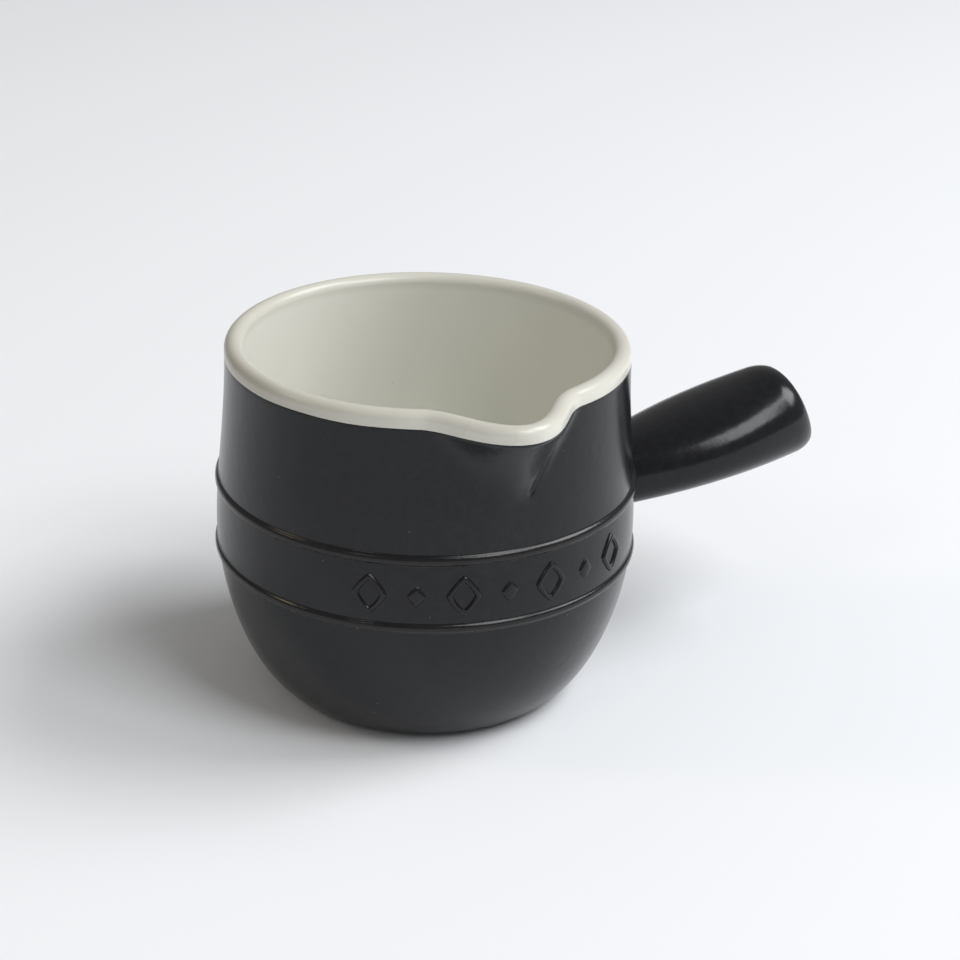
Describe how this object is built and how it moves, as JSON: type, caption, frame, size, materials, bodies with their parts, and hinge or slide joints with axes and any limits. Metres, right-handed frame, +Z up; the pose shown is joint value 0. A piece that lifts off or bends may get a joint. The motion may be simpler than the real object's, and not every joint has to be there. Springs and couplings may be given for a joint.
{
  "type": "candle melting pot",
  "caption": "Small glazed stoneware melting pot with a barrel-shaped body, a pulled pouring spout, ribs round the belly and a stub handle.",
  "frame": {"origin": "centre of the flat foot, on the surface that the pot stands on", "axes": "+Z up along the body's axis, +X from the body's axis along the handle, -Y towards the pouring spout"},
  "size_m": [0.1835, 0.1302, 0.1043],
  "materials": {
    "charcoal_glaze": "charcoal glaze, semi-gloss, with a faint speckle and small pinholes",
    "white_glaze": "off-white glaze, glossy, thinning to a beige tinge at the lip",
    "bare_clay": "bare fired stoneware, buff, matt and slightly rough"
  },
  "bodies": {
    "root": {"pot_body": "charcoal_glaze", "inner_glaze": "white_glaze", "foot": "bare_clay", "handle": "charcoal_glaze", "upper_rib": "charcoal_glaze", "lower_rib": "charcoal_glaze", "relief_1": "charcoal_glaze", "relief_2": "charcoal_glaze", "relief_3": "charcoal_glaze", "relief_4": "charcoal_glaze", "relief_5": "charcoal_glaze", "relief_6": "charcoal_glaze", "relief_7": "charcoal_glaze"}
  },
  "joints": []
}
